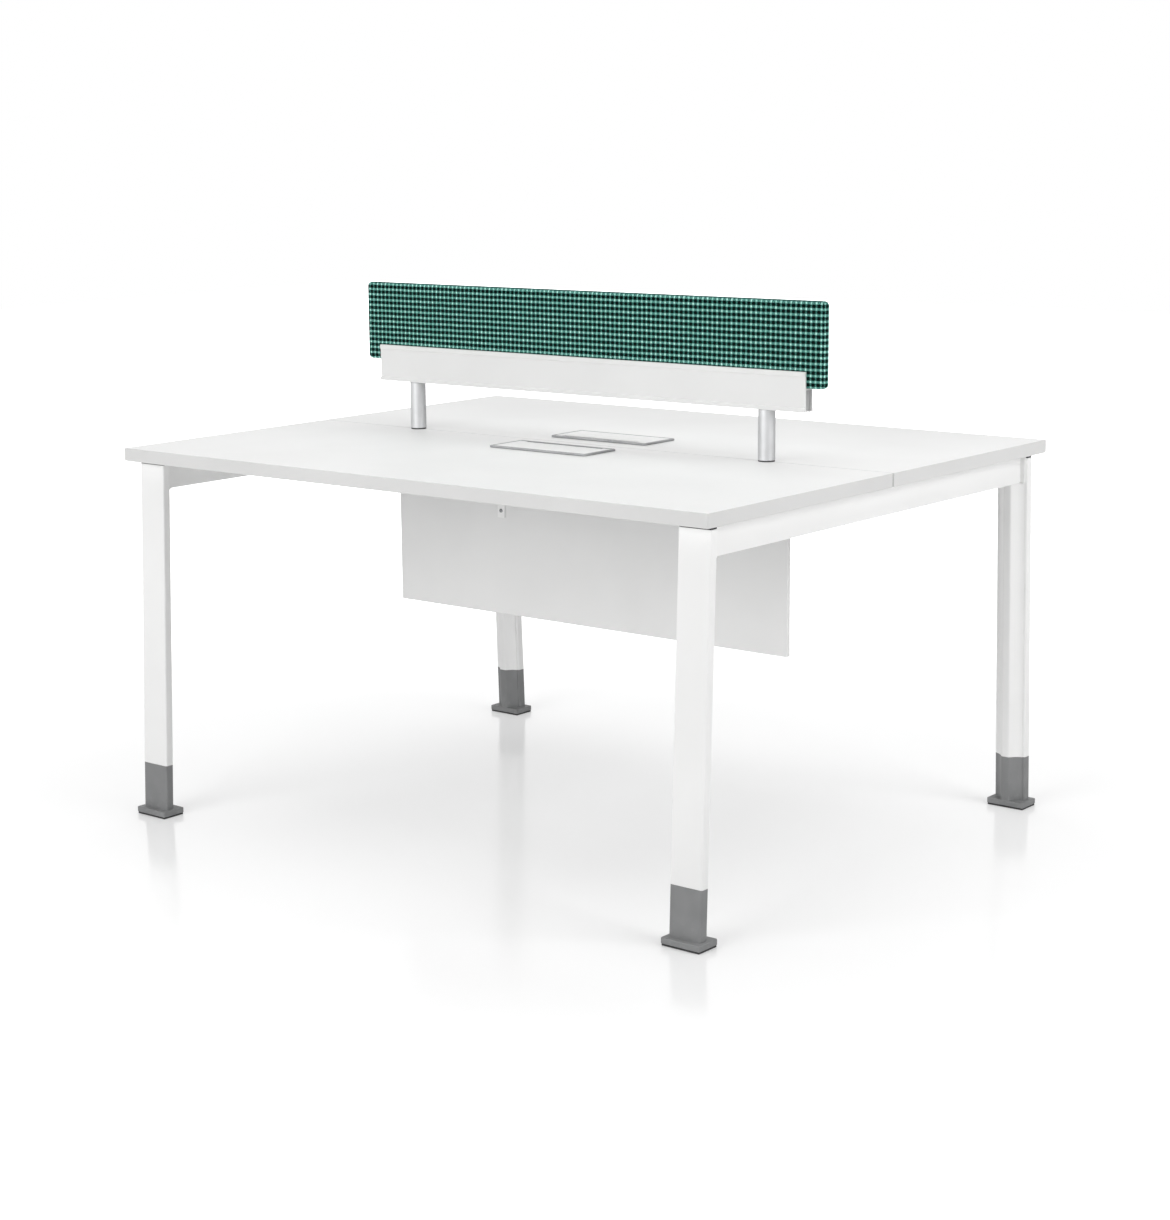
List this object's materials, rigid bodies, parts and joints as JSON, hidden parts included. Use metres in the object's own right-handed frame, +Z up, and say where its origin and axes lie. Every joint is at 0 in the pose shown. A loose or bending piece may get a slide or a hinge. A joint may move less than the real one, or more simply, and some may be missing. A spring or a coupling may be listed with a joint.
{
  "type": "benching desk",
  "caption": "Shared benching desk with white worktops on splayed legs in grey boots, a check-fabric screen on a rail, hinged cable flaps and a modesty panel.",
  "frame": {"origin": "on the floor, under the middle of the desk", "axes": "+X along the desk to the right, +Y from the front user to the rear user, +Z up"},
  "size_m": [1.4, 1.142, 1.031],
  "materials": {
    "white_laminate": "white laminate on board, fine matt grain",
    "panel_board": "white matt board",
    "white_paint": "white powder coat",
    "grey_paint": "light grey powder coat",
    "coated_aluminium": "white powder coat on an extrusion",
    "satin_aluminium": "satin",
    "white_plastic": "matt",
    "grey_plastic": "fine matt texture",
    "dark_plastic": "matt",
    "dark_rubber": "matt",
    "zinc_steel": "zinc plated",
    "screen_fabric": "woven light green and black check"
  },
  "bodies": {
    "frame": {"beam_front": "grey_paint", "beam_rear": "grey_paint", "boot_front_left": "grey_plastic", "boot_front_right": "grey_plastic", "boot_rear_left": "grey_plastic", "boot_rear_right": "grey_plastic", "cable_tray": "grey_paint", "clamp_nut_left": "zinc_steel", "clamp_nut_right": "zinc_steel", "end_rail_left": "white_paint", "end_rail_right": "white_paint", "flap_frame_front": "satin_aluminium", "flap_frame_rear": "satin_aluminium", "leg_cap_front_left": "dark_plastic", "leg_cap_front_right": "dark_plastic", "leg_cap_rear_left": "dark_plastic", "leg_cap_rear_right": "dark_plastic", "leg_cover_front_left": "white_plastic", "leg_cover_front_right": "white_plastic", "leg_cover_rear_left": "white_plastic", "leg_cover_rear_right": "white_plastic", "leg_front_left": "white_paint", "leg_front_right": "white_paint", "leg_rear_left": "white_paint", "leg_rear_right": "white_paint", "modesty_panel": "panel_board", "nut_plate_front_left": "zinc_steel", "nut_plate_front_right": "zinc_steel", "nut_plate_rear_left": "zinc_steel", "nut_plate_rear_right": "zinc_steel", "panel_hanger_front_left": "white_paint", "panel_hanger_front_right": "white_paint", "panel_hanger_rear_left": "white_paint", "panel_hanger_rear_right": "white_paint", "post_ring_left": "dark_rubber", "post_ring_right": "dark_rubber", "rail_plug_left": "white_plastic", "rail_plug_right": "white_plastic", "screen_board": "screen_fabric", "screen_post_left": "satin_aluminium", "screen_post_right": "satin_aluminium", "screen_rail": "coated_aluminium", "seam_clamp_left": "zinc_steel", "seam_clamp_right": "zinc_steel", "t_bolt_left": "zinc_steel", "t_bolt_right": "zinc_steel", "worktop_front": "white_laminate", "worktop_rear": "white_laminate"},
    "flap_front": {"flap_lid_front": "white_plastic", "flap_pin_front_left": "zinc_steel", "flap_pin_front_right": "zinc_steel"},
    "flap_rear": {"flap_lid_rear": "white_plastic", "flap_pin_rear_left": "zinc_steel", "flap_pin_rear_right": "zinc_steel"},
    "foot_front_left": {"glide_front_left": "dark_plastic"},
    "foot_front_right": {"glide_front_right": "dark_plastic"},
    "foot_rear_left": {"glide_rear_left": "dark_plastic"},
    "foot_rear_right": {"glide_rear_right": "dark_plastic"}
  },
  "joints": [
    {"name": "flap_hinge_front", "type": "hinge", "parent": "frame", "child": "flap_front", "pos_m": [0, -0.0555, 0.7365], "axis": [-1, 0, 0], "range_deg": [0, 100]},
    {"name": "flap_hinge_rear", "type": "hinge", "parent": "frame", "child": "flap_rear", "pos_m": [0, 0.0555, 0.7365], "axis": [1, 0, 0], "range_deg": [0, 100]},
    {"name": "foot_height_front_left", "type": "slide", "parent": "frame", "child": "foot_front_left", "axis": [0, 0, -1], "range_m": [0, 0.015]},
    {"name": "foot_height_front_right", "type": "slide", "parent": "frame", "child": "foot_front_right", "axis": [0, 0, -1], "range_m": [0, 0.015]},
    {"name": "foot_height_rear_left", "type": "slide", "parent": "frame", "child": "foot_rear_left", "axis": [0, 0, -1], "range_m": [0, 0.015]},
    {"name": "foot_height_rear_right", "type": "slide", "parent": "frame", "child": "foot_rear_right", "axis": [0, 0, -1], "range_m": [0, 0.015]}
  ]
}
